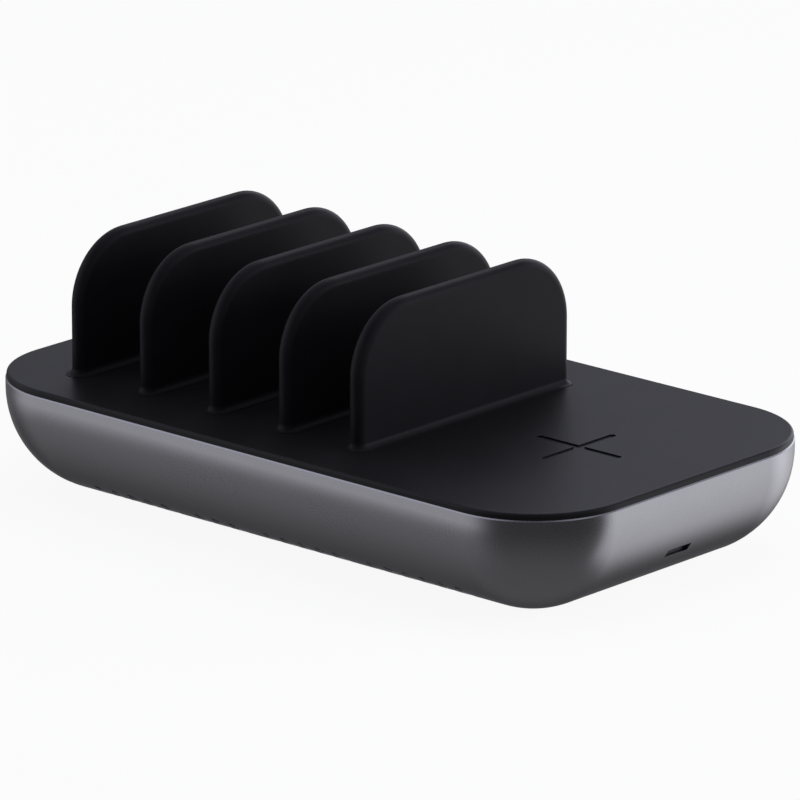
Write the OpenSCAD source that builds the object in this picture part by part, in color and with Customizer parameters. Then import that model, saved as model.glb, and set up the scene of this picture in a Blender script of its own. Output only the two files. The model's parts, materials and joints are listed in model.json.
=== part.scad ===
// Desktop charging station: a base with five upright dividers and a wireless charging spot.
// Millimetres. +X runs towards the charging spot, -Y is the front with its vent slots, +Z is up.
// The origin is the centre of the base, on the surface that the station stands on.

/* [Base] */
// Length of the base
base_length = 205; // [196:1:220]
// Width of the base
base_width = 116.6; // [112:0.2:124]
// Radius of the base's corners, seen from above
corner_radius = 27.8; // [25:0.1:28.2]
// Height of the straight band under the shell's rim
rim_band = 2.5; // [1.5:0.1:3.5]
// Radius of the shell's curved side
side_radius = 28.5; // [28:0.1:30]
// Depth of the shell, from its rim to its flat bottom
shell_depth = 30; // [28.5:0.1:30.5]
// Thickness of the shell's side
shell_wall = 2.4; // [2:0.1:2.8]
// Thickness of the shell's floor
shell_floor = 2.4; // [2.2:0.1:3]
// Bevel along the shell's rim
rim_bevel = 0.3; // [0.1:0.05:0.5]

/* [Deck] */
// Height of the deck's visible edge above the rim
deck_edge = 1.7; // [1.4:0.1:2.2]
// Rounding of the deck's top edge
deck_round = 0.8; // [0.4:0.1:1.1]
// Thickness of the deck plate
deck_thickness = 2.5; // [2.3:0.1:3.2]
// Thickness of the lip that centres the deck in the shell
lip_thickness = 1.3; // [1:0.1:2]
// Height of that lip below the rim
lip_height = 3.3; // [2.5:0.1:4]

/* [Plus mark] */
// Length of each bar of the mark
mark_length = 28.3; // [20:0.1:36]
// Width of each bar
mark_width = 2; // [1:0.1:3]
// Depth of the mark in the deck
mark_depth = 0.4; // [0.2:0.05:0.6]

/* [Dividers] */
// Distance from one divider to the next
divider_pitch = 24.9; // [24:0.1:25.4]
// Distance from the base's left end to the middle of the first divider
divider_inset = 25.5; // [25:0.1:27]
// Thickness of a divider
divider_thickness = 4.6; // [4.2:0.1:5.4]
// Length of a divider
divider_length = 82.8; // [74:0.2:88]
// Height of a divider above the deck
divider_height = 37.4; // [30:0.2:50]
// Radius of a divider's top corners
divider_corner = 19; // [10:0.5:26]
// Radius of the hollow flare round a divider's foot
flare_radius = 1.8; // [1.4:0.1:2.2]
// Height of the flare's upright edge
flare_edge = 0.1; // [0.1:0.1:0.5]
// Radius of the pegs under a divider
peg_radius = 3; // [2.6:0.1:3.4]
// Distance from a divider's middle to each peg
peg_reach = 19; // [17:0.5:20.5]

/* [Vents and status light] */
// Distance from one vent slot to the next
vent_pitch = 6.07; // [5.4:0.01:6.2]
// Width of a vent slot
vent_width = 2.5; // [1.8:0.1:3]
// Distance from the base's side to a vent slot's outer end
vent_start = 10.6; // [9.5:0.1:12]
// Length of a vent slot seen from below
vent_length = 12.5; // [11:0.1:13.5]
// Width of the status light's slot in the right-hand end
light_width = 9.1; // [7:0.1:12]
// Height of the status light's slot
light_height = 2.2; // [1.6:0.1:2.6]
// Depth of that slot's middle below the rim
light_drop = 19; // [18:0.1:19.5]

/* [Ports] */
// Depth of the middle of the ports below the rim
port_drop = 10; // [9.6:0.1:10.4]
// Height of the windows in the shell for the ports and the mains inlet
window_height = 10.4; // [9.6:0.1:11]
// Radius of the port window's corners
window_corner = 3; // [2:0.1:4.5]
// Length of the port panel beyond the middle of the outer ports
panel_reach = 10.5; // [9:0.1:11.5]
// How far the panel's curved face lies below the shell's surface
panel_recess = 0.3; // [0.1:0.05:0.6]
// Width of the port type with rounded ends, outside its metal shell
usb_c_width = 8.94; // [8.5:0.02:9.2]
// Height of that port outside its metal shell
usb_c_height = 3.16; // [3:0.02:3.4]
// Width of the rectangular port outside its metal shell
usb_a_width = 13.1; // [12.8:0.05:13.4]
// Height of the rectangular port outside its metal shell
usb_a_height = 5.72; // [5.6:0.02:6]
// Thickness of the ports' metal shells
port_sheet = 0.3; // [0.25:0.05:0.4]
// Length of the mains inlet's window
inlet_length = 20.4; // [19.4:0.1:22]
// Distance between the mains inlet's pins
pin_pitch = 8.6; // [8.2:0.1:9]
// Radius of the mains inlet's pins
pin_radius = 1.2; // [1:0.05:1.4]
// Radius of the round ends of the inlet's socket
socket_radius = 3.95; // [3.6:0.05:4.1]
// Height of the socket's waist
socket_waist = 6; // [5.4:0.1:7]
// Depth of the inlet's socket
socket_depth = 12.5; // [10:0.1:13]

/* [Base pad and screws] */
// Thickness of the silicone pad under the base
pad_thickness = 2; // [1.6:0.1:2.1]
// How far the pad stands out below the shell
pad_proud = 1; // [0.8:0.1:1.3]
// Distance from the base's side to the pad's edge
pad_inset = 26; // [25:0.1:27]
// Radius of the pad's corners
pad_corner = 8; // [5:0.5:10]
// Distance from the base's ends to the screw columns
column_inset_x = 31.4; // [31:0.1:32]
// Distance from the base's long sides to the screw columns
column_inset_y = 30.3; // [29.8:0.1:30.6]
// Radius of the screw columns under the deck
column_radius = 3.4; // [3:0.1:3.5]
// Radius of the case screws' shanks
case_screw = 1.25; // [1:0.05:1.4]
// Radius of the board screws' shanks
board_screw = 1; // [0.8:0.05:1.1]

/* [Wireless charging] */
// Outer radius of the charging coil
coil_radius = 21; // [18:0.5:22]
// Radius of the coil's open middle
coil_middle = 10; // [7:0.5:13]
// Thickness of the coil
coil_thickness = 1.3; // [1:0.1:1.6]
// Side of the square ferrite sheet
ferrite_side = 45; // [43:0.5:45]
// Thickness of the ferrite sheet
ferrite_thickness = 0.9; // [0.6:0.1:1.2]
// Length of the charging board
charging_board_length = 48; // [44:0.5:50]
// Width of the charging board
charging_board_width = 42; // [36:0.5:43]

/* [Power supply] */
// Length of the power board
power_board_length = 82; // [80:0.5:83]
// Width of the power board
power_board_width = 54; // [53:0.5:55]
// Thickness of every circuit board
board_thickness = 1.6; // [1.2:0.1:1.8]
// Width of the transformer's core
core_width = 30; // [26:0.5:32]
// Depth of the transformer's core
core_depth = 26; // [22:0.5:28]
// Height of the transformer's core
core_height = 17; // [14:0.5:18]
// Radius of the input capacitors
input_cap_radius = 6; // [5:0.25:6.25]
// Height of the input capacitors
input_cap_height = 18; // [14:0.5:18.5]

/* [Hidden] */
$fn = 64;

// Clearances
slip = 0.1;
fit_gap = 0.15;
pad_gap = 0.2;
through = 1;

// Levels of the case
bottom_z = pad_proud;
rim_z = bottom_z + shell_depth;
arc_z = rim_z - rim_band;
floor_z = bottom_z + shell_floor;
deck_z = rim_z + deck_edge;
deck_under_z = deck_z - deck_thickness;
port_z = rim_z - port_drop;

// Places along X
divider_count = 5;
first_divider_x = divider_inset - base_length / 2;
last_divider_x = first_divider_x + (divider_count - 1) * divider_pitch;
last_face_x = last_divider_x + divider_thickness / 2;
spot_x = (last_face_x + base_length / 2) / 2;
function divider_x(i) = first_divider_x + i * divider_pitch;
function port_x(i) = divider_x(i) + divider_pitch / 2;

// How far the shell's outer and inner surfaces lie inside the base's outline at height z
function arc_inset(z, radius) = side_radius - sqrt(radius * radius - pow(max(arc_z - z, 0), 2));
function outer_inset(z) = arc_inset(z, side_radius);
function inner_inset(z) = arc_inset(z, side_radius - shell_wall);
function mid_wall(z) = (outer_inset(z) + inner_inset(z)) / 2;

// The screw columns: four near the corners and two beside the last divider
column_x = base_length / 2 - column_inset_x;
column_y = base_width / 2 - column_inset_y;
mid_column_shift = 4.8;
mid_column_x = last_divider_x + mid_column_shift;
column_spots = [for (x = [-column_x, mid_column_x, column_x], y = [-column_y, column_y]) [x, y]];
column_foot_z = floor_z + 2.6;
column_bore = 0.85 * case_screw;
screw_seat_z = floor_z + 0.4;
case_screw_head = 2.8;
case_screw_length = 16;
cup_radius = column_radius + 1.5;
cup_height = 3;

// The case's exact surfaces: a profile swept round a rounded rectangle
module sweep_round(size, radius) {
    for (k = [0:3]) {
        run = (k % 2 == 0 ? size.y : size.x) - 2 * radius;
        reach = (k % 2 == 0 ? size.x : size.y) / 2 - radius;
        rotate([0, 0, 90 * k]) {
            translate([reach, run / 2, 0]) rotate([90, 0, 0]) linear_extrude(run) children();
            translate([reach, run / 2, 0]) rotate_extrude(angle = 90, $fn = 128) children();
        }
    }
}

module core_block(size, radius, low, high) {
    translate([radius - size.x / 2, radius - size.y / 2, low])
        cube([size.x - 2 * radius, size.y - 2 * radius, high - low]);
}

module rounded_rect(size, radius) {
    square([size.x - 2 * radius, size.y], center = true);
    square([size.x, size.y - 2 * radius], center = true);
    for (sx = [-1, 1], sy = [-1, 1])
        translate([sx * (size.x / 2 - radius), sy * (size.y / 2 - radius)]) circle(radius);
}

module pill(width, height) {
    square([width - height, height], center = true);
    for (s = [-1, 1]) translate([s * (width - height) / 2, 0]) circle(height / 2);
}

module plate(size, radius, thickness) {
    linear_extrude(thickness) rounded_rect(size, radius);
}

module tube(outer, inner, height) {
    difference() {
        cylinder(r = outer, h = height);
        translate([0, 0, -through]) cylinder(r = inner, h = height + 2 * through);
    }
}

// A pan-head screw with its shank up from z = 0 and a cross recess in its head
module screw(shank, length, head) {
    head_height = 0.6 * head;
    slot = 0.28 * head;
    translate([0, 0, -head_height / 2]) cylinder(r = shank, h = length + head_height / 2);
    difference() {
        translate([0, 0, -head_height]) cylinder(r = head, h = head_height);
        for (a = [0, 90]) rotate([0, 0, a]) translate([0, 0, -head_height])
            cube([1.2 * head, slot, head_height], center = true);
    }
}

// Shell: the side's outline between the corner's axis and the outside, inset by a wall
module side_region(inset, low) {
    translate([0, arc_z]) square([corner_radius - inset, rim_z - arc_z]);
    intersection() {
        translate([corner_radius - side_radius, arc_z]) circle(side_radius - inset, $fn = 128);
        translate([0, low]) square([corner_radius, arc_z - low]);
    }
}

module shell_profile() {
    difference() {
        side_region(0, bottom_z);
        side_region(shell_wall, floor_z);
        translate([corner_radius, rim_z]) rotate([0, 0, 45])
            square(sqrt(2) * rim_bevel, center = true);
    }
}

// The row of vent slots, with gaps where the photographed row has them
vent_count = 22;
vent_gaps = [5, 9, 15];
module vent_row() {
    for (i = [0:vent_count - 1])
        if (len(search(i, vent_gaps)) == 0)
            translate([(i - (vent_count - 1) / 2) * vent_pitch, 0, 0]) children();
}

module vent_cut() {
    outer_y = base_width / 2 - vent_start - vent_width / 2;
    inner_y = outer_y - vent_length + vent_width;
    top_z = floor_z + 0.4 * side_radius;
    translate([0, 0, bottom_z - through]) linear_extrude(top_z) {
        translate([0, -outer_y]) circle(vent_width / 2);
        translate([0, -inner_y]) circle(vent_width / 2);
        translate([-vent_width / 2, -outer_y]) square([vent_width, outer_y - inner_y]);
    }
}

// Windows in the back wall
panel_length = 3 * divider_pitch + 2 * panel_reach;
panel_x = (port_x(0) + port_x(3)) / 2;
inlet_x = spot_x - 12;
window_low = port_z - window_height / 2;
window_high = port_z + window_height / 2;
frame_face_y = base_width / 2 - inner_inset(window_low - 1.5) - 0.6;
frame_rim = 2.6;
shelf_depth = 2.2;

module panel_window(gap) {
    rounded_rect([panel_length - 2 * gap, window_height - 2 * gap], window_corner - gap);
}

module inlet_window(gap) {
    rounded_rect([inlet_length - 2 * gap, window_height - 2 * gap],
        window_height / 2 - gap - 0.01);
}

// A flat-faced thickening inside the back wall, round a window
module wall_frame(length, shelf) {
    low = window_low - frame_rim;
    high = min(window_high + frame_rim, rim_z - lip_height - 0.5);
    shelf_z = usb_board_z;
    translate([-length / 2 - frame_rim, 0, 0]) rotate([90, 0, 90])
        linear_extrude(length + 2 * frame_rim) {
            polygon([[frame_face_y, low], [base_width / 2 - mid_wall(low), low],
                [base_width / 2 - mid_wall(high), high], [frame_face_y, high]]);
            if (shelf)
                translate([frame_face_y - shelf_depth, low - 1])
                    square([shelf_depth + 1, shelf_z - low + 1]);
        }
}

module back_cut(x) {
    translate([x, base_width / 2 + through, port_z]) rotate([90, 0, 0])
        linear_extrude(base_width / 2 + 2 * through - frame_face_y) children();
}

// Circuit boards and the posts that carry them
tray_wall = 1.2;
tray_gap = 1.2;
tray_height = 7;
tray_clear = 1.4;
post_radius = 2.6;
post_inset = 4;
post_bore = 0.85 * board_screw;
board_screw_length = 5;
board_gap = 0.4;
usb_board_z = port_z - usb_a_height / 2 - board_thickness;
usb_board_left = port_x(0) - usb_c_width / 2 - board_gap;
usb_board_right = port_x(3) + divider_pitch / 2 - tray_clear;
usb_post_y = base_width / 2 - vent_start - vent_length - 2 * fit_gap - post_radius;
usb_board_width = frame_face_y - board_gap - usb_post_y + post_inset;
usb_board_y = frame_face_y - board_gap - usb_board_width / 2;
tray_reach_x = power_board_length / 2 + tray_gap + tray_wall;
tray_reach_y = power_board_width / 2 + tray_gap + tray_wall;
power_board_z = floor_z + tray_wall + 3;
power_top_z = power_board_z + board_thickness;
power_board_x = (mid_column_x - column_x) / 2;
power_board_y = tray_reach_y + tray_clear + inner_inset(floor_z) - base_width / 2;
power_post = [power_board_length / 2 - post_inset, power_board_width / 2 - post_inset];
led_height = 2.8;
light_z = rim_z - light_drop;
light_length = 10;
light_gap = 0.2;
light_tip_x = base_length / 2 - outer_inset(light_z - light_height / 2) - panel_recess - 0.6;
charging_board_z = light_z - led_height / 2 - board_thickness;
charging_board_x = light_tip_x - light_length - light_gap - charging_board_length / 2;
charging_post = [charging_board_length / 2 - post_inset, charging_board_width / 2 - post_inset];

usb_post_spots = [for (x = [port_x(0), divider_x(2), port_x(3) - 1]) [x, usb_post_y]];
power_post_spots = [for (sx = [-1, 1], sy = [-1, 1])
    [power_board_x + sx * power_post.x, power_board_y + sy * power_post.y]];
charging_post_spots = [for (sx = [-1, 1], sy = [-1, 1])
    [charging_board_x + sx * charging_post.x, sy * charging_post.y]];

module at_spots(spots) {
    for (p = spots) translate([p.x, p.y, 0]) children();
}

module posts(spots, top_z) {
    at_spots(spots) translate([0, 0, floor_z - shell_floor / 4])
        cylinder(r = post_radius, h = top_z - floor_z + shell_floor / 4);
}

module post_bores(spots, top_z) {
    depth = board_screw_length - board_thickness + 0.4;
    at_spots(spots) translate([0, 0, top_z - depth]) cylinder(r = post_bore, h = depth + through);
}

module lower_housing() {
    base_size = [base_length, base_width];
    color([0.42, 0.42, 0.44]) difference() {
        union() {
            sweep_round(base_size, corner_radius) shell_profile();
            core_block(base_size, corner_radius, bottom_z, floor_z);
            translate([panel_x, 0, 0]) wall_frame(panel_length, true);
            translate([inlet_x, 0, 0]) wall_frame(inlet_length, false);
            posts(usb_post_spots, usb_board_z);
            posts(power_post_spots, power_board_z);
            posts(charging_post_spots, charging_board_z);
            at_spots(column_spots) translate([0, 0, floor_z - shell_floor / 4])
                cylinder(r = cup_radius, h = column_foot_z - floor_z + cup_height + shell_floor / 4);
        }
        post_bores(usb_post_spots, usb_board_z);
        post_bores(power_post_spots, power_board_z);
        post_bores(charging_post_spots, charging_board_z);
        at_spots(column_spots) {
            translate([0, 0, column_foot_z]) cylinder(r = column_radius + slip, h = 2 * cup_height);
            cylinder(r = case_screw + fit_gap, h = 2 * column_foot_z);
            cylinder(r = case_screw_head + fit_gap, h = screw_seat_z);
        }
        translate([0, 0, bottom_z - through])
            plate([base_length - 2 * (pad_inset - pad_gap), base_width - 2 * (pad_inset - pad_gap)],
                pad_corner + pad_gap, pad_thickness - pad_proud + through);
        vent_row() vent_cut();
        rotate([0, 0, 180]) vent_row() vent_cut();
        back_cut(panel_x) panel_window(0);
        back_cut(inlet_x) inlet_window(0);
        translate([spot_x, -light_width / 2, rim_z - light_drop - light_height / 2])
            cube([base_length / 2, light_width, light_height]);
    }
}

// Deck: its edge stands back by the rim's bevel, which stays in sight
module deck_profile() {
    outer_edge = corner_radius - rim_bevel;
    inner_edge = corner_radius - shell_wall - fit_gap;
    square_edge = deck_edge - deck_round;
    translate([0, rim_z]) square([outer_edge, square_edge]);
    translate([0, rim_z + square_edge]) square([outer_edge - deck_round, deck_round]);
    intersection() {
        translate([outer_edge - deck_round, deck_z - deck_round]) circle(deck_round);
        translate([outer_edge - deck_round, deck_z - deck_round]) square(deck_round);
    }
    translate([0, deck_under_z]) square([inner_edge, rim_z - deck_under_z]);
    translate([inner_edge - lip_thickness, rim_z - lip_height]) square([lip_thickness, lip_height]);
}

module plus_cut() {
    translate([spot_x, 0, deck_z - mark_depth]) linear_extrude(through)
        for (a = [0, 90]) rotate([0, 0, a]) pill(mark_length, mark_width);
}

carrier_boss = 2.6;
carrier_side = ferrite_side + 3;
carrier_screw = 0.8;
carrier_boss_spots = [for (sx = [-1, 1], sy = [-1, 1])
    [spot_x + sx * (carrier_side / 2 + carrier_boss + 0.4), sy * carrier_side / 4]];
carrier_floor = 1.4;
carrier_top_z = deck_under_z - coil_thickness - ferrite_thickness;
peg_spots = [for (i = [0:divider_count - 1], s = [-1, 1]) [divider_x(i), s * peg_reach]];

module top_deck() {
    base_size = [base_length, base_width];
    color([0.12, 0.12, 0.13]) difference() {
        union() {
            sweep_round(base_size, corner_radius) deck_profile();
            core_block(base_size, corner_radius, deck_under_z, deck_z);
            at_spots(column_spots) translate([0, 0, column_foot_z])
                cylinder(r = column_radius, h = deck_under_z - column_foot_z + deck_thickness / 2);
            at_spots(carrier_boss_spots) translate([0, 0, carrier_top_z])
                cylinder(r = carrier_boss, h = deck_under_z - carrier_top_z + deck_thickness / 2);
        }
        plus_cut();
        at_spots(peg_spots) translate([0, 0, deck_under_z - through])
            cylinder(r = peg_radius + slip, h = deck_thickness + 2 * through);
        at_spots(column_spots) translate([0, 0, column_foot_z - through])
            cylinder(r = column_bore, h = case_screw_length + through);
        at_spots(carrier_boss_spots) translate([0, 0, carrier_top_z - through])
            cylinder(r = 0.85 * carrier_screw, h = 4 + through);
    }
}

// Dividers
module flare_profile() {
    half = divider_thickness / 2;
    difference() {
        square([half + flare_radius, flare_radius + flare_edge]);
        translate([half + flare_radius, flare_radius + flare_edge]) circle(flare_radius);
    }
}

module divider_foot() {
    end_y = (divider_length - divider_thickness) / 2;
    translate([0, end_y, 0]) rotate([90, 0, 0]) linear_extrude(2 * end_y) {
        flare_profile();
        mirror([1, 0]) flare_profile();
    }
    for (s = [0, 180]) rotate([0, 0, s]) translate([0, end_y, 0])
        rotate_extrude(angle = 180) flare_profile();
}

// The rounded rim of a plate: a half disc on a flat strip, out to the given reach
module rounded_strip(reach) {
    half = divider_thickness / 2;
    translate([0, -half]) square([reach - half, divider_thickness]);
    intersection() {
        translate([reach - half, 0]) circle(half);
        translate([reach - half, -half]) square([half, divider_thickness]);
    }
}

module divider_plate() {
    end_y = (divider_length - divider_thickness) / 2;
    foot_top = flare_radius + flare_edge;
    corner_z = divider_height - divider_corner;
    corner_y = divider_length / 2 - divider_corner;
    translate([0, 0, foot_top]) linear_extrude(corner_z - foot_top) {
        square([divider_thickness, 2 * end_y], center = true);
        for (s = [0, 180]) rotate([0, 0, s]) translate([0, end_y]) intersection() {
            circle(divider_thickness / 2);
            translate([-divider_thickness / 2, 0]) square([divider_thickness, divider_thickness / 2]);
        }
    }
    translate([0, corner_y, corner_z]) rotate([90, 0, 0]) linear_extrude(2 * corner_y)
        rotate([0, 0, 90]) rounded_strip(divider_corner);
    for (s = [0, 180]) rotate([0, 0, s]) translate([0, corner_y, corner_z])
        rotate([90, 0, 90]) rotate_extrude(angle = 90, $fn = 96) rounded_strip(divider_corner);
}

divider_screw_head = 4.2;
divider_screw_length = 13;
peg_end = 0.2;

module divider(i) {
    color([0.08, 0.08, 0.09]) translate([divider_x(i), 0, deck_z]) difference() {
        union() {
            divider_foot();
            divider_plate();
            for (s = [-1, 1]) translate([0, s * peg_reach, peg_end - deck_thickness])
                cylinder(r = peg_radius, h = deck_thickness);
        }
        for (s = [-1, 1]) translate([0, s * peg_reach, -deck_thickness])
            cylinder(r = case_screw + slip / 2, h = divider_screw_length + through);
    }
}

module divider_screws() {
    color("silver") at_spots(peg_spots) translate([0, 0, deck_under_z])
        screw(case_screw, divider_screw_length, divider_screw_head);
}

module case_screws() {
    color("silver") at_spots(column_spots) translate([0, 0, screw_seat_z])
        screw(0.85 * case_screw - slip / 2, case_screw_length - 2, case_screw_head);
}

module base_pad() {
    color([0.1, 0.1, 0.1])
        plate([base_length - 2 * pad_inset, base_width - 2 * pad_inset], pad_corner, pad_thickness);
}

// Port panel: a strip that fills the window and follows the shell's curve
module curved_fill(length) {
    translate([-length / 2, 0, 0]) rotate([90, 0, 90]) linear_extrude(length) intersection() {
        translate([base_width / 2 - side_radius, arc_z])
            circle(side_radius - panel_recess, $fn = 128);
        translate([frame_face_y, window_low])
            square([base_width / 2 - frame_face_y, window_high - window_low]);
    }
}

mouth_y = base_width / 2 - outer_inset(port_z - usb_a_height / 2) - panel_recess - slip;
usb_c_length = 10.5;
usb_a_length = 14;
flange_thickness = 1;
flange_low = usb_board_z + board_thickness + 0.5;
flange_high = window_high + 0.7;

module usb_c_outline(inset) {
    pill(usb_c_width - 2 * inset, usb_c_height - 2 * inset);
}

module usb_a_outline(inset) {
    square([usb_a_width - 2 * inset, usb_a_height - 2 * inset], center = true);
}

// Stands a drawn outline upright at a port and runs it back from y = front
module run_back(x, front, length) {
    translate([x, front, port_z]) rotate([90, 0, 0]) linear_extrude(length) children();
}

module port_panel() {
    color([0.06, 0.06, 0.07]) difference() {
        union() {
            intersection() {
                translate([panel_x, 0, 0]) curved_fill(panel_length);
                back_cut(panel_x) panel_window(fit_gap);
            }
            translate([panel_x - panel_length / 2 - 2, frame_face_y - flange_thickness, flange_low])
                cube([panel_length + 4, flange_thickness, flange_high - flange_low]);
        }
        for (i = [0, 1]) run_back(port_x(i), base_width / 2 + through, base_width / 2)
            usb_c_outline(-slip);
        for (i = [2, 3]) run_back(port_x(i), base_width / 2 + through, base_width / 2)
            usb_a_outline(-slip);
    }
}

// Mains inlet: a socket with two pins, behind its own window
inlet_body_size = [24.4, 15, 12.4];
socket_mouth_y = base_width / 2 - outer_inset(port_z - socket_radius) - panel_recess;
inlet_rear_y = frame_face_y - inlet_body_size.y;
pin_tab = 2.5;

module socket_outline() {
    for (s = [-1, 1]) translate([s * pin_pitch / 2, 0]) circle(socket_radius);
    square([pin_pitch, socket_waist], center = true);
}

module inlet_body() {
    color([0.05, 0.05, 0.05]) difference() {
        union() {
            intersection() {
                translate([inlet_x, 0, 0]) curved_fill(inlet_length);
                back_cut(inlet_x) inlet_window(fit_gap);
            }
            translate([inlet_x - inlet_body_size.x / 2, inlet_rear_y, port_z - inlet_body_size.z / 2])
                cube(inlet_body_size);
        }
        run_back(inlet_x, base_width / 2 + through,
            base_width / 2 + through - socket_mouth_y + socket_depth) socket_outline();
        for (s = [-1, 1]) run_back(inlet_x + s * pin_pitch / 2, frame_face_y, 2 * inlet_body_size.y)
            circle(pin_radius + slip / 2);
    }
}

module inlet_pins() {
    pin_front_y = socket_mouth_y - 1.5;
    color("gainsboro") for (s = [-1, 1])
        run_back(inlet_x + s * pin_pitch / 2, pin_front_y, pin_front_y - inlet_rear_y + pin_tab)
            circle(pin_radius);
}

// Circuit boards
module board(centre, size, z, spots) {
    color([0.05, 0.3, 0.15]) difference() {
        translate([centre.x - size.x / 2, centre.y - size.y / 2, z])
            cube([size.x, size.y, board_thickness]);
        at_spots(spots) translate([0, 0, z - through])
            cylinder(r = board_screw + slip, h = board_thickness + 2 * through);
    }
}

module usb_board() {
    difference() {
        board([(usb_board_left + usb_board_right) / 2, usb_board_y],
            [usb_board_right - usb_board_left, usb_board_width], usb_board_z, usb_post_spots);
        at_spots(column_spots) translate([0, 0, usb_board_z - through])
            cylinder(r = column_radius + board_gap, h = board_thickness + 2 * through);
    }
}

module charging_board() {
    board([charging_board_x, 0], [charging_board_length, charging_board_width],
        charging_board_z, charging_post_spots);
}

module power_board() {
    board([power_board_x, power_board_y], [power_board_length, power_board_width],
        power_board_z, power_post_spots);
}

module board_screws() {
    screws = [[usb_post_spots, usb_board_z], [power_post_spots, power_board_z],
        [charging_post_spots, charging_board_z]];
    color("silver") for (group = screws) at_spots(group[0])
        translate([0, 0, group[1] + board_thickness]) rotate([180, 0, 0])
            screw(0.85 * board_screw - slip / 2, board_screw_length, 1.9);
}

// Sockets on the port board
usb_top_z = usb_board_z + board_thickness;

module usb_c_shell(i) {
    color("silver") run_back(port_x(i), mouth_y, usb_c_length) difference() {
        usb_c_outline(0);
        usb_c_outline(port_sheet);
    }
}

module usb_a_shell(i) {
    color("silver") run_back(port_x(i), mouth_y, usb_a_length) difference() {
        usb_a_outline(0);
        usb_a_outline(port_sheet);
    }
}

module usb_c_tongue(i) {
    plug_depth = 6.2;
    tongue = [6.69, 0.7];
    rear_y = mouth_y - usb_c_length;
    rear_wall = 1.4;
    base_top = port_z - usb_c_height / 2 - usb_top_z;
    color([0.1, 0.1, 0.1]) {
        run_back(port_x(i), mouth_y - plug_depth, usb_c_length - plug_depth)
            usb_c_outline(port_sheet + slip / 2);
        run_back(port_x(i), mouth_y - 1, plug_depth - 1) square(tongue, center = true);
        translate([port_x(i) - usb_c_width / 2, rear_y - rear_wall, usb_top_z])
            cube([usb_c_width, rear_wall, port_z + usb_c_height / 2 - usb_top_z]);
        translate([port_x(i) - usb_c_width / 2, rear_y, usb_top_z])
            cube([usb_c_width, frame_face_y - 1 - rear_y, base_top - slip / 2]);
    }
}

module usb_a_tongue(i) {
    plug_depth = 9;
    tongue = [11.1, 1.84];
    tongue_lift = 0.6;
    inset = port_sheet + slip / 2;
    color("white") {
        run_back(port_x(i), mouth_y - plug_depth, usb_a_length - plug_depth) usb_a_outline(inset);
        run_back(port_x(i), mouth_y - 0.8, plug_depth - 0.8)
            translate([0, tongue_lift]) square(tongue, center = true);
    }
}

module usb_board_inductors() {
    base_side = 6.4;
    color([0.25, 0.25, 0.26]) for (i = [0:3])
        translate([port_x(i) + divider_pitch / 4, usb_board_y - usb_board_width / 2 + 5, usb_top_z]) {
            translate([-base_side / 2, -base_side / 2, 0]) cube([base_side, base_side, 1]);
            translate([0, 0, 1]) cylinder(r = 2.9, h = 2.6);
        }
}

// Status light: a clear bar from the light on the charging board to the slot in the end wall
charging_top_z = charging_board_z + board_thickness;
led_size = [2.8, 3, led_height];
led_x = charging_board_x + charging_board_length / 2 - led_size.x;

module status_led() {
    color("white") translate([led_x, -led_size.y / 2, charging_top_z]) cube(led_size);
}

module light_pipe() {
    narrow = led_size.y / 2;
    wide = light_width / 2 - slip;
    start_x = light_tip_x - light_length;
    flare_x = start_x + light_length / 2;
    color([0.8, 0.85, 0.9]) translate([0, 0, light_z - light_height / 2 + slip])
        linear_extrude(light_height - 2 * slip)
            polygon([[start_x, -narrow], [flare_x, -wide], [light_tip_x, -wide],
                [light_tip_x, wide], [flare_x, wide], [start_x, narrow]]);
}

// Wireless charging: coil and ferrite sheet in a carrier under the deck
lead_radius = 0.55;
lead_spread = 1.2;
lead_z = deck_under_z - coil_thickness / 2;
lead_notch = 2 * (lead_spread + lead_radius) + 0.6;

module charging_coil() {
    color([0.72, 0.42, 0.2]) translate([spot_x, 0, deck_under_z - coil_thickness])
        tube(coil_radius, coil_middle, coil_thickness);
}

module ferrite_sheet() {
    color([0.2, 0.2, 0.2]) translate([spot_x, 0, deck_under_z - coil_thickness - ferrite_thickness])
        plate([ferrite_side, ferrite_side], 3, ferrite_thickness);
}

module coil_carrier() {
    low_z = carrier_top_z - carrier_floor;
    notch_x = spot_x - carrier_side / 2 - through;
    color([0.85, 0.85, 0.83]) difference() {
        union() {
            translate([spot_x, 0, low_z])
                plate([carrier_side, carrier_side], 4, deck_under_z - low_z);
            at_spots(carrier_boss_spots) translate([0, 0, low_z])
                cylinder(r = carrier_boss, h = carrier_floor);
            for (sy = [-1, 1]) translate([spot_x, sy * carrier_side / 4, low_z + carrier_floor / 2])
                cube([carrier_side + 2 * carrier_boss, 2 * carrier_boss, carrier_floor],
                    center = true);
        }
        translate([spot_x, 0, carrier_top_z])
            plate([ferrite_side + 2 * fit_gap, ferrite_side + 2 * fit_gap], 3 + fit_gap, 10);
        at_spots(carrier_boss_spots) translate([0, 0, low_z - through])
            cylinder(r = carrier_screw + slip, h = carrier_floor + 2 * through);
        translate([notch_x, -lead_notch / 2, carrier_top_z + ferrite_thickness])
            cube([carrier_side / 4, lead_notch, 10]);
    }
}

module carrier_screws() {
    color("silver") at_spots(carrier_boss_spots)
        translate([0, 0, carrier_top_z - carrier_floor])
            screw(0.85 * carrier_screw - slip / 2, 5, 1.6);
}

module charging_board_inductors() {
    side = 7;
    height = 3.6;
    color([0.25, 0.25, 0.26]) for (sx = [0, 1], sy = [-1, 1])
        translate([charging_board_x + sx * 1.6 * side, sy * side, charging_top_z + height / 2])
            cube([side, side, height], center = true);
}

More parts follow.
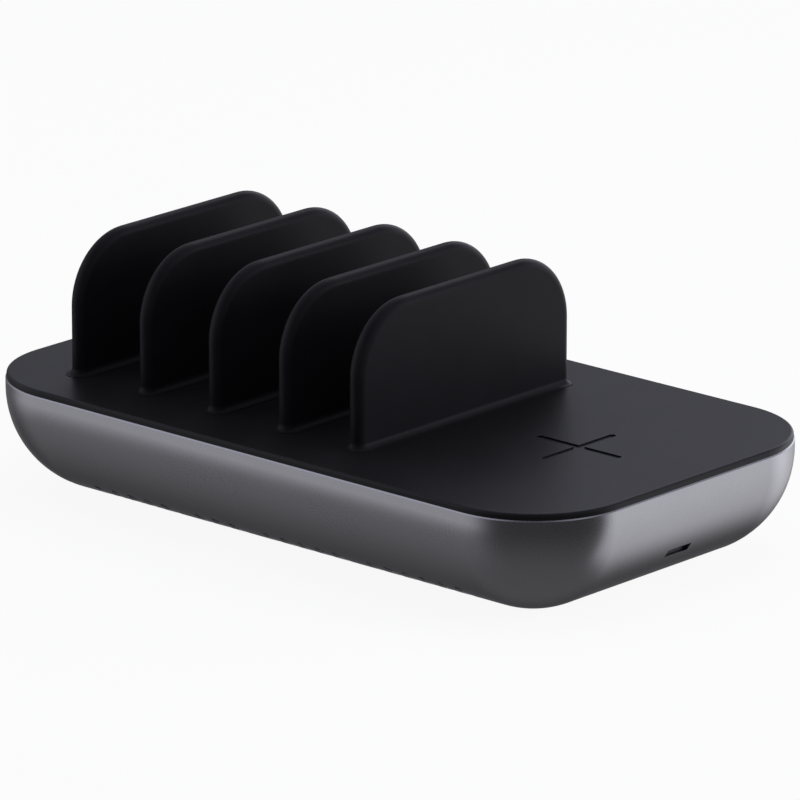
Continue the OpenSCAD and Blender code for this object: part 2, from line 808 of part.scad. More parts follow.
// Power supply on its insulating tray
module insulating_tray() {
    corner = 1.5;
    color([0.9, 0.9, 0.88]) translate([power_board_x, power_board_y, floor_z]) difference() {
        plate([2 * tray_reach_x, 2 * tray_reach_y], corner + tray_wall, tray_height);
        translate([0, 0, tray_wall])
            plate([2 * (tray_reach_x - tray_wall), 2 * (tray_reach_y - tray_wall)], corner, tray_height);
        for (sx = [-1, 1], sy = [-1, 1])
            translate([sx * power_post.x, sy * power_post.y, -through])
                cylinder(r = post_radius + pad_gap, h = tray_height);
    }
}

// Puts a component on the power board, at a place counted from the board's middle
module on_power_board(x, y) {
    translate([power_board_x + x, power_board_y + y, power_top_z]) children();
}

// The components' places, counted inwards from the board's edges and from one another
header = [6, 5, 5.4];
part_gap = 2;
edge_gap = 0.5;
core_leg = 8;
core_frame = 4;
core_yoke = 13;
core_lift = 2.4;
output_cap_radius = 4.2;
output_cap_height = 14;
choke_radius = 7.5;
choke_hole = 3.5;
choke_height = 7;
safety_size = [13, 6, 11];
fuse_radius = 2.6;
fuse_length = 12;
sink_length = 46;
sink_plate = 2.2;
sink_height = 15;
fin_reach = 2;
transistor_size = [10, 4, 10];
input_cap_x = power_board_length / 2 - header.y - 2 * edge_gap - part_gap - input_cap_radius;
core_place = [input_cap_x - input_cap_radius - part_gap - core_width / 2, -1];
back_row_y = power_board_width / 2 - edge_gap;
sink_y = edge_gap + fin_reach + sink_plate / 2 - power_board_width / 2;
sink_x = core_place.x + core_width / 2 - part_gap - sink_length / 2;
choke_place = [core_place.x + core_width / 2 + 1.5 * part_gap, back_row_y - 2 * part_gap - choke_radius];
safety_place = [core_place.x, back_row_y - 2 * part_gap - safety_size.y / 2];
fuse_place = [safety_place.x - safety_size.x / 2 - part_gap - fuse_length / 2,
    back_row_y - part_gap - fuse_radius];
output_cap_x = 2 * (part_gap + edge_gap) + post_inset + output_cap_radius - power_board_length / 2;

module transformer_core() {
    window = [(core_width - core_leg) / 2 - core_frame, core_height - 2 * core_frame];
    color([0.22, 0.22, 0.23]) on_power_board(core_place.x, core_place.y)
        translate([0, 0, core_lift]) difference() {
            translate([-core_width / 2, -core_yoke / 2, 0]) cube([core_width, core_yoke, core_height]);
            for (s = [-1, 1])
                translate([s * (core_leg + window.x) / 2, 0, core_height / 2])
                    cube([window.x, core_yoke + 2 * through, window.y], center = true);
        }
}

module transformer_bobbin() {
    winding = [core_width - 2 * core_frame - 2 * slip, core_depth, core_height - 2 * core_frame - 2 * slip];
    color([0.75, 0.6, 0.15]) on_power_board(core_place.x, core_place.y) {
        difference() {
            translate([0, 0, core_lift + core_height / 2]) cube(winding, center = true);
            translate([0, 0, core_lift + core_height / 2])
                cube([core_leg + 2 * slip, core_yoke + 2 * slip, core_height], center = true);
        }
        for (s = [-1, 1])
            translate([-winding.x / 2, s * (core_depth / 2 - 1.5) - 1.5, 0])
                cube([winding.x, 3, core_lift + core_height / 2]);
    }
}

module input_capacitors() {
    color([0.1, 0.12, 0.3]) for (k = [0, 1])
        on_power_board(input_cap_x, -k * (2 * input_cap_radius + part_gap))
            cylinder(r = input_cap_radius, h = input_cap_height);
}

module line_choke() {
    color([0.35, 0.4, 0.2]) on_power_board(choke_place.x, choke_place.y)
        tube(choke_radius, choke_hole, choke_height);
}

module safety_capacitor() {
    color([0.85, 0.7, 0.1]) on_power_board(safety_place.x, safety_place.y)
        translate([-safety_size.x / 2, -safety_size.y / 2, 0]) cube(safety_size);
}

module line_fuse() {
    color([0.8, 0.8, 0.78]) on_power_board(fuse_place.x, fuse_place.y)
        translate([-fuse_length / 2, 0, fuse_radius]) rotate([0, 90, 0])
            cylinder(r = fuse_radius, h = fuse_length);
}

module heat_sink() {
    fin = 1.2;
    fin_pitch = 4;
    color([0.75, 0.76, 0.78]) on_power_board(sink_x, sink_y) {
        translate([-sink_length / 2, -sink_plate / 2, 0]) cube([sink_length, sink_plate, sink_height]);
        for (z = [fin : fin_pitch : sink_height])
            translate([-sink_length / 2, -sink_plate / 2 - fin_reach, z])
                cube([sink_length, fin_reach + sink_plate / 2, fin]);
    }
}

module power_transistor() {
    pin_spacing = 2.54;
    pin_size = [0.8, 0.6, 4];
    lift = 3;
    color([0.15, 0.15, 0.16]) for (s = [-1, 1])
        on_power_board(sink_x + s * sink_length / 4, sink_y + sink_plate / 2) {
            translate([-transistor_size.x / 2, 0, lift]) cube(transistor_size);
            for (k = [-1:1])
                translate([k * pin_spacing - pin_size.x / 2, transistor_size.y / 2, 0]) cube(pin_size);
        }
}

module output_capacitors() {
    color([0.3, 0.15, 0.35]) for (k = [-1:1])
        on_power_board(output_cap_x, core_place.y + k * (2 * output_cap_radius + part_gap))
            cylinder(r = output_cap_radius, h = output_cap_height);
}

// Wire headers: a small block per plug, with its wires leaving one face
wire_radius = 0.8;
wire_spread = 1;
wire_z = 3.5;
header_inset = header.y / 2 + edge_gap;
header_row_y = power_post.y - header.x / 2 - part_gap - edge_gap;
mains_header = [power_board_x + power_board_length / 2 - header_inset, power_board_y + header_row_y,
    power_top_z];
charge_header = [mains_header.x, power_board_y - header_row_y, power_top_z];
usb_header = [power_board_x + fuse_place.x - fuse_length / 2 - part_gap - header.x / 2,
    power_board_y + power_board_width / 2 - header_inset, power_top_z];
usb_inlet_header = [port_x(1) - 1, usb_board_y - usb_board_width / 2 + header_inset, usb_top_z];
charge_inlet_header = [charging_board_x - charging_board_length / 2 + header_inset,
    -1.5 * header.x - 1, charging_top_z];
coil_header = [charge_inlet_header.x + 1, 0, charging_top_z];

module header_block(place, turn) {
    translate(place) rotate([0, 0, turn]) translate([-header.y / 2, -header.x / 2, 0])
        cube([header.y, header.x, header.z]);
}

module wire_headers() {
    color("ivory") {
        header_block(mains_header, 0);
        header_block(charge_header, 0);
        header_block(usb_header, 90);
        header_block(usb_inlet_header, 90);
        header_block(charge_inlet_header, 0);
        header_block(coil_header, 0);
    }
}

// A wire's middle line: a cubic curve that leaves each end in the given direction
function curve_point(a, da, b, db, t) =
    pow(1 - t, 3) * a + 3 * pow(1 - t, 2) * t * (a + da) + 3 * (1 - t) * t * t * (b + db) + t * t * t * b;
function unit(v) = v / norm(v);
wire_start = 0.4;
function curve(a, da, b, db, steps) =
    let (first = a + wire_start * unit(da), last = b + wire_start * unit(db))
    [a, for (k = [0:steps]) curve_point(first, da, last, db, k / steps), b];
function heading(path, k) = k == 0 ? unit(path[1] - path[0])
    : k == len(path) - 1 ? unit(path[k] - path[k - 1]) : unit(path[k + 1] - path[k - 1]);
function side_of(h) = unit(cross(abs(h.z) > 0.8 ? [1, 0, 0] : [0, 0, 1], h));

wire_sides = 8;
wire_steps = 14;

module wire(path, radius) {
    rings = [for (k = [0:len(path) - 1])
        let (h = heading(path, k), u = side_of(h), v = cross(h, u))
        for (j = [0:wire_sides - 1])
            path[k] + radius * (cos(360 * j / wire_sides) * u + sin(360 * j / wire_sides) * v)];
    last = (len(path) - 1) * wire_sides;
    sides = [for (k = [0:len(path) - 2], j = [0:wire_sides - 1])
        let (a = k * wire_sides + j, b = k * wire_sides + (j + 1) % wire_sides)
        each [[a, a + wire_sides, b + wire_sides], [a, b + wire_sides, b]]];
    caps = [[for (j = [0:wire_sides - 1]) j], [for (j = [wire_sides - 1:-1:0]) last + j]];
    polyhedron(rings, concat(sides, caps));
}

module wire_pair(a, da, b, db, spread_a, spread_b, radius) {
    for (s = [-1, 1])
        wire(curve(a + s * spread_a, da, b + s * spread_b, db, wire_steps), radius);
}

module mains_wires() {
    color([0.45, 0.3, 0.15]) wire_pair([inlet_x, inlet_rear_y - pin_tab, port_z], [0, -14, 0],
        mains_header + [header.y / 2, 0, wire_z], [12, 0, 0],
        [-pin_pitch / 2, 0, 0], [0, wire_spread, 0], wire_radius);
}

module usb_supply_wires() {
    color([0.6, 0.1, 0.1]) wire_pair(usb_header + [0, header.y / 2, wire_z], [0, 4, 0],
        usb_inlet_header + [0, -header.y / 2, wire_z], [0, -4, 0],
        [wire_spread, 0, 0], [wire_spread, 0, 0], wire_radius);
}

module charging_supply_wires() {
    color([0.6, 0.1, 0.1]) wire_pair(charge_header + [header.y / 2, 0, wire_z], [6, 0, 0],
        charge_inlet_header + [-header.y / 2, 0, wire_z], [-6, 0, 0],
        [0, 0, wire_spread], [0, 0, wire_spread], wire_radius);
}

module coil_leads() {
    coil_edge = spot_x - sqrt(pow(coil_radius, 2) - pow(lead_spread, 2)) - slip;
    out_x = spot_x - carrier_side / 2 - 0.5;
    color([0.72, 0.42, 0.2]) for (s = [-1, 1])
        wire(concat([[coil_edge, s * lead_spread, lead_z]],
            curve([out_x, s * lead_spread, lead_z], [-8, 0, 0],
                coil_header + [0, s * lead_spread, header.z], [0, 0, 5], wire_steps)), lead_radius);
}

lower_housing();
top_deck();
divider(0);  // divider_1
divider(1);  // divider_2
divider(2);  // divider_3
divider(3);  // divider_4
divider(4);  // divider_5
divider_screws();
case_screws();
base_pad();
port_panel();
inlet_body();
inlet_pins();
usb_board();
usb_c_shell(0);  // usb_c_shell_1
usb_c_shell(1);  // usb_c_shell_2
usb_a_shell(2);  // usb_a_shell_1
usb_a_shell(3);  // usb_a_shell_2
usb_c_tongue(0);  // usb_c_tongue_1
usb_c_tongue(1);  // usb_c_tongue_2
usb_a_tongue(2);  // usb_a_tongue_1
usb_a_tongue(3);  // usb_a_tongue_2
usb_board_inductors();
light_pipe();
status_led();
coil_carrier();
ferrite_sheet();
charging_coil();
carrier_screws();
charging_board();
charging_board_inductors();
insulating_tray();
power_board();
transformer_core();
transformer_bobbin();
input_capacitors();
line_choke();
safety_capacitor();
line_fuse();
heat_sink();
power_transistor();
output_capacitors();
board_screws();
wire_headers();
mains_wires();
usb_supply_wires();
charging_supply_wires();
coil_leads();
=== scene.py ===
"""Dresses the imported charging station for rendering. Metres, in the frame of the CAD model."""
import json
import math

import bmesh
import bpy
from mathutils import Matrix, Vector


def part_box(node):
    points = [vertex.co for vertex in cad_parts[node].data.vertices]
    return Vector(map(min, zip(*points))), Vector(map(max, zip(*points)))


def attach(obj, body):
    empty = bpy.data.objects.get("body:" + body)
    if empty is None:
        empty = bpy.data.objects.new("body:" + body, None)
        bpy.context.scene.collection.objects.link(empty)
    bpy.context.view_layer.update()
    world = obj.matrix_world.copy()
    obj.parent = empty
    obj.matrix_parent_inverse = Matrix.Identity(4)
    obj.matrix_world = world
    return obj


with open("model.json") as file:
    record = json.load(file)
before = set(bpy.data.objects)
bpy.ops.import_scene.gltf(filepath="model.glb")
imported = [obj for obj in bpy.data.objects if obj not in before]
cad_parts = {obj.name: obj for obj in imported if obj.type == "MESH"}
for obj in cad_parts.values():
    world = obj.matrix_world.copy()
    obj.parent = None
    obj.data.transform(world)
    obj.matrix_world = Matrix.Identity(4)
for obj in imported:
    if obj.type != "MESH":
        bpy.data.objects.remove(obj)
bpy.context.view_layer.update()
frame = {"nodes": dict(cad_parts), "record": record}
nodes = frame["nodes"]
scene = bpy.context.scene
scene.view_settings.view_transform = "Standard"

MM = 0.001


# ---------------------------------------------------------------- materials
class Graph:
    """A material's node tree, with short calls for the nodes used here."""

    def __init__(self, name):
        self.material = bpy.data.materials.new(name)
        self.material.use_nodes = True
        self.tree = self.material.node_tree
        self.tree.nodes.clear()
        self.output = self.add("ShaderNodeOutputMaterial")
        self.place = self.add("ShaderNodeTexCoord").outputs["Object"]

    def add(self, kind, **values):
        node = self.tree.nodes.new(kind)
        for key, value in values.items():
            setattr(node, key, value)
        return node

    def link(self, source, target):
        self.tree.links.new(source, target)

    def put(self, node, socket, value):
        target = node.inputs[socket]
        if hasattr(value, "links"):
            self.link(value, target)
        else:
            target.default_value = value

    def noise(self, scale, detail=2.0, rough=0.5, stretch=None, seed=0.0):
        """Noise with features of about 1 / scale metres."""
        place = self.place
        if stretch or seed:
            mapping = self.add("ShaderNodeMapping")
            self.link(self.place, mapping.inputs["Vector"])
            mapping.inputs["Scale"].default_value = stretch or (1, 1, 1)
            mapping.inputs["Location"].default_value = (seed, seed * 0.7, seed * 1.3)
            place = mapping.outputs["Vector"]
        node = self.add("ShaderNodeTexNoise")
        self.link(place, node.inputs["Vector"])
        node.inputs["Scale"].default_value = scale
        node.inputs["Detail"].default_value = detail
        node.inputs["Roughness"].default_value = rough
        return node.outputs["Fac"]

    def span(self, value, low, high, start=0.25, stop=0.75):
        """Maps start..stop of a value to low..high."""
        node = self.add("ShaderNodeMapRange")
        self.link(value, node.inputs["Value"])
        node.inputs["From Min"].default_value = start
        node.inputs["From Max"].default_value = stop
        node.inputs["To Min"].default_value = low
        node.inputs["To Max"].default_value = high
        return node.outputs["Result"]

    def mix(self, fac, a, b):
        node = self.add("ShaderNodeMix", data_type="RGBA")
        self.put(node, 0, fac)
        for index, value in ((6, a), (7, b)):
            self.put(node, index, value if hasattr(value, "links") else (*value[:3], 1.0))
        return node.outputs[2]

    def math(self, operation, a, b=0.0):
        node = self.add("ShaderNodeMath", operation=operation)
        self.put(node, 0, a)
        self.put(node, 1, b)
        return node.outputs[0]

    def vector(self, operation, a, b=(0, 0, 0), result="Vector"):
        node = self.add("ShaderNodeVectorMath", operation=operation)
        self.put(node, 0, a)
        self.put(node, 1, b)
        return node.outputs[result]

    def scaled(self, vector, factor):
        node = self.add("ShaderNodeVectorMath", operation="SCALE")
        self.link(vector, node.inputs[0])
        self.put(node, "Scale", factor)
        return node.outputs["Vector"]

    def bump(self, height, distance, strength=1.0, normal=None):
        node = self.add("ShaderNodeBump")
        node.inputs["Strength"].default_value = strength
        node.inputs["Distance"].default_value = distance
        self.link(height, node.inputs["Height"])
        if normal is not None:
            self.link(normal, node.inputs["Normal"])
        return node.outputs["Normal"]

    def surface(self, **values):
        shader = self.add("ShaderNodeBsdfPrincipled")
        for key, value in values.items():
            socket = key.replace("_", " ")
            if isinstance(value, tuple) and len(value) == 3 and socket.endswith("Color"):
                value = (*value, 1.0)
            self.put(shader, socket, value)
        self.link(shader.outputs[0], self.output.inputs["Surface"])
        return self.material


SIDE_RADIUS = 28.5 * MM
CORNER_RADIUS = 27.8 * MM
ARC_HEIGHT = 28.5 * MM


def round_side_normal(g):
    """The exact normal of the shell's swept arc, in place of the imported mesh's flat steps.
    Faces that lie otherwise, such as the rim, the slots and the windows, keep their own."""
    low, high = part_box("lower_housing")
    reach = [high[axis] - CORNER_RADIUS for axis in (0, 1)]
    inner = g.vector("MINIMUM", g.place, (*reach, 1.0))
    inner = g.vector("MAXIMUM", inner, (-reach[0], -reach[1], ARC_HEIGHT))
    away = g.vector("SUBTRACT", g.place, inner)
    level = g.vector("MULTIPLY", away, (1, 1, 0))
    length = g.vector("LENGTH", level, result="Value")
    gain = g.math("ADD", g.math("DIVIDE", SIDE_RADIUS - CORNER_RADIUS, length), 1.0)
    exact = g.vector("NORMALIZE", g.vector(
        "ADD", g.scaled(level, gain), g.vector("MULTIPLY", away, (0, 0, 1))))
    geometry = g.add("ShaderNodeNewGeometry")
    match = g.vector("DOT_PRODUCT", exact, geometry.outputs["True Normal"], "Value")
    node = g.add("ShaderNodeMix", data_type="VECTOR")
    g.put(node, 0, g.math("GREATER_THAN", match, 0.995))
    g.link(geometry.outputs["Normal"], node.inputs[4])
    g.link(exact, node.inputs[5])
    return node.outputs[1]


def blasted_metal():
    """Bead-blasted, anodised metal: a fine even grain over a faint broad unevenness."""
    g = Graph("blasted_metal")
    grain = g.noise(5200, 2, 0.55)
    broad = g.noise(55, 3, 0.5)
    colour = g.mix(g.span(grain, 0.0, 1.0), (0.262, 0.261, 0.279), (0.298, 0.297, 0.317))
    rough = g.math("ADD", g.span(grain, 0.25, 0.32), g.span(broad, -0.02, 0.02))
    normal = g.bump(grain, 0.02 * MM, 0.2, round_side_normal(g))
    return g.surface(Base_Color=colour, Metallic=1.0, Roughness=rough, Normal=normal)


def soft_black(name, base, rough, grain_scale, depth, seed=0.0, gloss=0.5):
    """A matt black moulding with a fine soft-touch grain."""
    g = Graph(name)
    grain = g.noise(grain_scale, 3, 0.6, seed=seed)
    broad = g.noise(45, 3, 0.5, seed=seed + 3)
    dark = tuple(0.8 * c for c in base)
    light = tuple(1.25 * c for c in base)
    colour = g.mix(g.span(broad, 0.2, 0.8), dark, light)
    roughness = g.math("ADD", g.span(grain, rough - 0.05, rough + 0.05), g.span(broad, -0.02, 0.02))
    normal = g.bump(grain, depth, 0.4)
    return g.surface(Base_Color=colour, Roughness=roughness, Normal=normal,
                     Specular_IOR_Level=gloss)


def plastic(name, base, rough=0.45, grain_scale=3500, depth=0.01 * MM, spread=0.12):
    g = Graph(name)
    grain = g.noise(grain_scale, 3, 0.6)
    broad = g.noise(120, 3, 0.5)
    low = tuple(c * (1 - spread) for c in base)
    high = tuple(min(1.0, c * (1 + spread)) for c in base)
    colour = g.mix(g.span(broad, 0.0, 1.0), low, high)
    return g.surface(Base_Color=colour, Roughness=g.span(grain, rough - 0.06, rough + 0.06),
                     Normal=g.bump(grain, depth, 0.4))


def metal(name, base, rough=0.25, stretch=(1, 1, 1), spread=0.1, scale=2500):
    """Plated or drawn metal, with marks that run along the axis that stretch makes small."""
    g = Graph(name)
    marks = g.noise(scale, 3, 0.6, stretch=stretch)
    low = tuple(c * (1 - spread) for c in base)
    high = tuple(min(1.0, c * (1 + spread)) for c in base)
    colour = g.mix(g.span(marks, 0.0, 1.0), low, high)
    return g.surface(Base_Color=colour, Metallic=1.0,
                     Roughness=g.span(marks, rough - 0.06, rough + 0.1),
                     Normal=g.bump(marks, 0.004 * MM, 0.5))


def circuit_board():
    """Green solder mask over a pattern of tracks, with the glass weave just showing."""
    g = Graph("circuit_board")
    tracks = g.add("ShaderNodeTexVoronoi", feature="DISTANCE_TO_EDGE", distance="MANHATTAN")
    g.link(g.place, tracks.inputs["Vector"])
    tracks.inputs["Scale"].default_value = 420
    edge = g.span(tracks.outputs["Distance"], 0.0, 1.0, 0.05, 0.09)
    weave = g.noise(2200, 2, 0.5, stretch=(1, 0.25, 1))
    green = g.mix(edge, (0.012, 0.10, 0.035), (0.006, 0.055, 0.02))
    colour = g.mix(g.span(weave, 0.0, 0.35), green, (0.02, 0.14, 0.05))
    return g.surface(Base_Color=colour, Roughness=g.span(weave, 0.28, 0.42),
                     Normal=g.bump(edge, 0.03 * MM, 0.6))


def wound_copper(name, centre=None, pitch=0.8 * MM):
    """Enamelled copper wire: turns round a centre, or plain wire."""
    g = Graph(name)
    if centre:
        mapping = g.add("ShaderNodeMapping")
        g.link(g.place, mapping.inputs["Vector"])
        mapping.inputs["Location"].default_value = tuple(-c for c in centre)
        mapping.inputs["Scale"].default_value = (1, 1, 0)
        far = g.add("ShaderNodeVectorMath", operation="LENGTH")
        g.link(mapping.outputs["Vector"], far.inputs[0])
        turns = g.math("SINE", g.math("MULTIPLY", far.outputs["Value"], 2 * math.pi / pitch))
        height = g.span(turns, 0.0, 1.0, -1.0, 1.0)
    else:
        height = g.noise(1800, 2, 0.5)
    # Where wound, the colour is darker in the grooves between the turns: painted shade. Plain wire
    # varies at random.
    colour = g.mix(height, (0.32, 0.10, 0.03), (0.78, 0.34, 0.15))
    return g.surface(Base_Color=colour, Metallic=1.0, Roughness=0.28, Coat_Weight=0.6,
                     Normal=g.bump(height, 0.12 * MM, 0.7))


def smoked_bar():
    g = Graph("smoked_bar")
    haze = g.noise(900, 3, 0.5)
    return g.surface(Base_Color=g.mix(haze, (0.016, 0.015, 0.020), (0.022, 0.021, 0.027)),
                     Roughness=g.span(haze, 0.34, 0.46), Transmission_Weight=0.1, IOR=1.49,
                     Specular_IOR_Level=0.12, Normal=g.bump(haze, 0.01 * MM, 0.3))


spot = Vector((63.7, 0, 0)) * MM
black_part = lambda name, base, rough: plastic(name, base, rough, 4200, 0.012 * MM)
finishes = {
    "shell": blasted_metal(),
    "deck": soft_black("deck_black", (0.0066, 0.0064, 0.0077), 0.38, 3600, 0.02 * MM, gloss=0.107),
    "divider": soft_black("divider_black", (0.0068, 0.0065, 0.0082), 0.40, 3600, 0.02 * MM, 5.0, 0.056),
    "screw": metal("zinc_plate", (0.62, 0.62, 0.60), 0.3),
    "pad": soft_black("silicone", (0.014, 0.014, 0.014), 0.7, 2600, 0.03 * MM, 9.0),
    "panel": soft_black("panel_black", (0.012, 0.012, 0.014), 0.48, 3000, 0.03 * MM, 12.0),
    "inlet": black_part("inlet_black", (0.011, 0.011, 0.012), 0.38),
    "contact": metal("nickel_contact", (0.72, 0.70, 0.66), 0.22),
    "port_shell": metal("nickel_sheet", (0.62, 0.62, 0.63), 0.26, (1, 0.08, 1)),
    "tongue_black": black_part("tongue_black", (0.014, 0.014, 0.014), 0.42),
    "tongue_white": plastic("tongue_white", (0.74, 0.74, 0.71), 0.4),
    "board": circuit_board(),
    "component": plastic("component_grey", (0.045, 0.045, 0.05), 0.5, 2600, 0.03 * MM, 0.2),
    "core": plastic("ferrite", (0.06, 0.06, 0.065), 0.62, 1800, 0.05 * MM, 0.25),
    "winding": plastic("winding_tape", (0.62, 0.42, 0.05), 0.35, 900, 0.05 * MM, 0.15),
    "copper": wound_copper("copper_wire"),
    "carrier": plastic("natural_plastic", (0.68, 0.67, 0.63), 0.45, 2000, 0.02 * MM, 0.06),
    "capacitor": plastic("blue_sleeve", (0.03, 0.04, 0.16), 0.3, 1200, 0.02 * MM, 0.15),
    "film_capacitor": plastic("yellow_box", (0.72, 0.5, 0.04), 0.35, 1500, 0.02 * MM, 0.08),
    "fuse": plastic("ceramic", (0.7, 0.69, 0.66), 0.4, 1800, 0.02 * MM, 0.05),
    "heat_sink": metal("bare_metal", (0.66, 0.66, 0.67), 0.35, (0.06, 1, 1)),
    "light": smoked_bar(),
    "wire_mains": plastic("brown_sleeve", (0.16, 0.07, 0.025), 0.45, 1500, 0.02 * MM),
    "wire_supply": plastic("red_sleeve", (0.42, 0.02, 0.015), 0.42, 1500, 0.02 * MM),
    "header": plastic("ivory_plastic", (0.78, 0.74, 0.6), 0.45, 1800, 0.02 * MM, 0.06),
}
spiral = wound_copper("copper_spiral", spot)
for part in frame["record"]["subparts"]:
    node = nodes[part["node"]]
    finish = spiral if part["node"] == "charging_coil" else finishes[part["material_slot"]]
    node.data.materials.clear()
    node.data.materials.append(finish)

# ---------------------------------------------------------------- contacts in the ports
def contact_strip(mesh, x, width, thickness, stations):
    """A strip of sheet along y, through stations of (y, z, share of the width)."""
    rings = []
    for y, z, share in stations:
        rings.append([mesh.verts.new((x + a * share * width / 2, y, z + b * thickness / 2))
                      for a, b in ((-1, -1), (1, -1), (1, 1), (-1, 1))])
    for first, second in zip(rings, rings[1:]):
        for i in range(4):
            mesh.faces.new((first[i], first[i - 3], second[i - 3], second[i]))
    mesh.faces.new(rings[0][::-1])
    mesh.faces.new(rings[-1])


def contact_piece(name, shell, places, width, thickness, rows):
    """The contacts on a port's tongue. Places are across it from its middle, and each row lists
    stations of (depth from the mouth, height over the port's middle, share of the width)."""
    low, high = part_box(shell)
    middle_x, middle_z = (low[0] + high[0]) / 2, (low[2] + high[2]) / 2
    mesh = bmesh.new()
    for place in places:
        for row in rows:
            contact_strip(mesh, middle_x + place * MM, width * MM, thickness * MM,
                          [(high[1] - depth * MM, middle_z + height * MM, share)
                           for depth, height, share in row])
    bmesh.ops.recalc_face_normals(mesh, faces=mesh.faces)
    data = bpy.data.meshes.new(name)
    mesh.to_mesh(data)
    mesh.free()
    data.materials.append(finishes["contact"])
    piece = bpy.data.objects.new(name, data)
    scene.collection.objects.link(piece)
    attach(piece, "root")


# Springs bowed out of the lower face of the rectangular ports' tongues
spring = [(1.5 + 7.2 * t, -0.36 - 0.42 * math.sin(math.pi * t ** 0.8), min(1.0, 0.6 + 2 * t))
          for t in (i / 12 for i in range(13))]
# Flat pads on both faces of the round-ended ports' tongues
pads = [[(1.45, side * 0.355, 0.5), (1.6, side * 0.36, 1.0), (4.9, side * 0.36, 1.0)]
        for side in (-1, 1)]
for number in ("1", "2"):
    contact_piece("usb_a_contacts_" + number, "usb_a_shell_" + number, (-3.5, -1.0, 1.0, 3.5),
                  1.0, 0.2, [spring])
    contact_piece("usb_c_contacts_" + number, "usb_c_shell_" + number,
                  [0.5 * (i - 5.5) for i in range(12)], 0.26, 0.06, pads)


# ---------------------------------------------------------------- camera
azimuth, elevation, roll = (math.radians(v) for v in (41.965, 16.914, -0.042))
back = Vector((math.sin(azimuth) * math.cos(elevation), -math.cos(azimuth) * math.cos(elevation),
               math.sin(elevation)))
right = Vector((math.cos(azimuth), math.sin(azimuth), 0))
up = back.cross(right)
right, up = right * math.cos(roll) - up * math.sin(roll), up * math.cos(roll) + right * math.sin(roll)
camera_data = bpy.data.cameras.new("camera")
camera_data.sensor_width = 36
camera_data.lens = 366.33
camera_data.clip_start = 0.1
camera_data.clip_end = 50
camera = bpy.data.objects.new("camera", camera_data)
scene.collection.objects.link(camera)
eye = 2141.48 * back + 1.233 * right + 9.415 * up + Vector((0, 0, 22.45))
camera.matrix_world = Matrix((
    (right.x, up.x, back.x, eye.x * MM), (right.y, up.y, back.y, eye.y * MM),
    (right.z, up.z, back.z, eye.z * MM), (0, 0, 0, 1)))
scene.camera = camera


# ---------------------------------------------------------------- stage and light
def area_light(name, place, target, size, power, colour=(1, 1, 1), spread=180):
    data = bpy.data.lights.new(name, "AREA")
    data.shape = "RECTANGLE"
    data.size, data.size_y = size
    data.energy = power
    data.color = colour
    data.spread = math.radians(spread)
    light = bpy.data.objects.new(name, data)
    scene.collection.objects.link(light)
    light.location = place
    light.rotation_euler = (Vector(target) - Vector(place)).to_track_quat("-Z", "Y").to_euler()
    light.visible_camera = False
    return light


bpy.ops.mesh.primitive_plane_add(size=8)
floor = bpy.context.object
floor.name = "floor"
floor.visible_glossy = False
g = Graph("floor_white")
diffuse = g.add("ShaderNodeBsdfDiffuse")
diffuse.inputs["Color"].default_value = (0.72, 0.72, 0.72, 1)
white = g.add("ShaderNodeEmission")
white.inputs["Strength"].default_value = 1.0
blend = g.add("ShaderNodeMixShader")
path = g.add("ShaderNodeLightPath")
g.put(blend, 0, g.math("MULTIPLY", path.outputs["Is Camera Ray"], 0.92))
g.link(diffuse.outputs[0], blend.inputs[1])
g.link(white.outputs[0], blend.inputs[2])
g.link(blend.outputs[0], g.output.inputs["Surface"])
floor.data.materials.append(g.material)


class Sky(Graph):
    """The studio round the object. Rays that light it see an even grey, camera rays a plain
    background of strength 1, and glossy and transmission rays the room with its two softboxes."""

    def __init__(self):
        self.world = bpy.data.worlds.new("studio")
        self.world.use_nodes = True
        self.tree = self.world.node_tree
        self.tree.nodes.clear()
        self.output = self.add("ShaderNodeOutputWorld")
        self.place = self.add("ShaderNodeTexCoord").outputs["Generated"]
        split = self.add("ShaderNodeSeparateXYZ")
        self.link(self.place, split.inputs[0])
        self.height = split.outputs["Z"]

    def along(self, direction):
        """The cosine of the angle to a direction."""
        return self.vector("DOT_PRODUCT", self.place, Vector(direction).normalized(), "Value")

    def side(self, normal, low, high):
        """0 to 1 across a great circle, on the side that normal points to."""
        return self.ramp(self.along(normal), 0.0, 1.0, low, high)

    def ramp(self, value, low, high, start, stop):
        result = self.span(value, low, high, start, stop)
        result.node.interpolation_type = "SMOOTHSTEP"
        return result

    def heading(self, degrees):
        return (math.sin(math.radians(degrees)), math.cos(math.radians(degrees)), 0)

    def product(self, strength, *parts):
        for part in parts:
            strength = self.math("MULTIPLY", part, strength)
        return strength


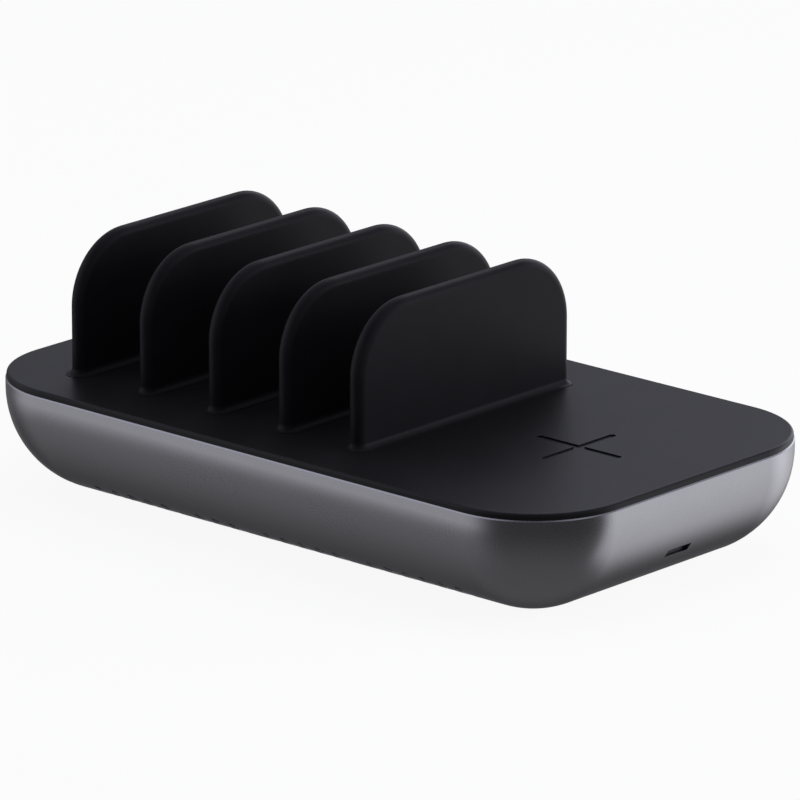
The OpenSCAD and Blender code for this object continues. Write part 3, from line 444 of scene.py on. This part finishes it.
sky = Sky()
scene.world = sky.world
path = sky.add("ShaderNodeLightPath")
mirrored = sky.math("MAXIMUM", path.outputs["Is Glossy Ray"], path.outputs["Is Transmission Ray"])
behind = sky.along(sky.heading(-45))
low_room = sky.product(1.0, sky.ramp(sky.height, 0.225, 0.08, -0.98, -0.2),
                       sky.ramp(behind, 1.0, 0.45, 0.2, 0.9))
far_wall = sky.product(0.16, sky.ramp(behind, 0.0, 1.0, 0.6, 0.9),
                       sky.ramp(sky.height, 0.0, 1.0, -0.7, -0.35),
                       sky.ramp(sky.height, 1.0, 0.0, -0.12, 0.08))
high_room = sky.ramp(sky.height, 0.0, 0.69, -0.05, 0.4)
room = sky.math("ADD", sky.math("ADD", low_room, far_wall), high_room)
right_box = sky.product(
    1.7, sky.side((0.425, 0.545, 0.722), -0.19, 0.145), sky.side(sky.heading(-36), -0.10, 0.10),
    sky.side((0.819, 0.574, 0.2), -0.045, 0.27), sky.ramp(sky.height, 0.82, 1.15, -0.62, -0.25),
    sky.ramp(sky.height, 1.0, 0.0, 0.6, 0.85),
    sky.ramp(sky.along(sky.heading(0)), 0.70, 1.0, 0.70, 0.94),
    sky.math("MAXIMUM", sky.ramp(sky.along(sky.heading(146)), 0.28, 1.0, -1.0, -0.55),
             sky.ramp(sky.height, 0.0, 1.0, -0.2, 0.05)))
left_shape = sky.math("ADD", sky.ramp(sky.height, 0.0, 0.9, -0.46, -0.22),
                      sky.ramp(sky.height, 0.0, 0.2, -0.94, -0.5))
left_box = sky.product(
    left_shape, sky.side(sky.heading(-68), -0.35, 0.15), sky.side(sky.heading(-190), -0.36, 0.30),
    sky.ramp(sky.height, 1.0, 0.45, 0.2, 0.65), sky.ramp(sky.height, 1.0, 0.0, 0.72, 0.9))
gap = sky.product(1.0, sky.ramp(sky.along((0.289, 0.71, 0.64)), 1.0, 0.3, 0.88, 0.96),
                  sky.ramp(sky.along((0.42, -0.47, 0.78)), 1.0, 0.15, 0.78, 0.93))
glossy = sky.math("MULTIPLY", sky.math("ADD", room, sky.math("ADD", right_box, left_box)), gap)


def choose(fac, a, b):
    node = sky.add("ShaderNodeMix", data_type="FLOAT")
    sky.put(node, 0, fac)
    sky.put(node, 2, a)
    sky.put(node, 3, b)
    return node.outputs[0]


strength = choose(path.outputs["Is Camera Ray"], choose(mirrored, 0.36, glossy), 1.0)
background = sky.add("ShaderNodeBackground")
sky.link(sky.mix(sky.ramp(sky.height, 0.0, 1.0, -0.15, 0.2), (0.97, 0.965, 1.0), (0.86, 0.87, 1.0)),
         background.inputs["Color"])
sky.link(strength, background.inputs["Strength"])
sky.link(background.outputs[0], sky.output.inputs["Surface"])

for lamp in (area_light("key_right", (0.80, 0.68, 0.25), (0.05, 0, 0.02), (0.8, 0.5), 12),
             area_light("fill_left", (-0.9, -0.75, 0.5), (0, 0, 0.02), (0.9, 0.7), 4),
             area_light("top", (0.0, 0.2, 1.2), (0, 0, 0), (1.2, 1.2), 6)):
    lamp.visible_glossy = False
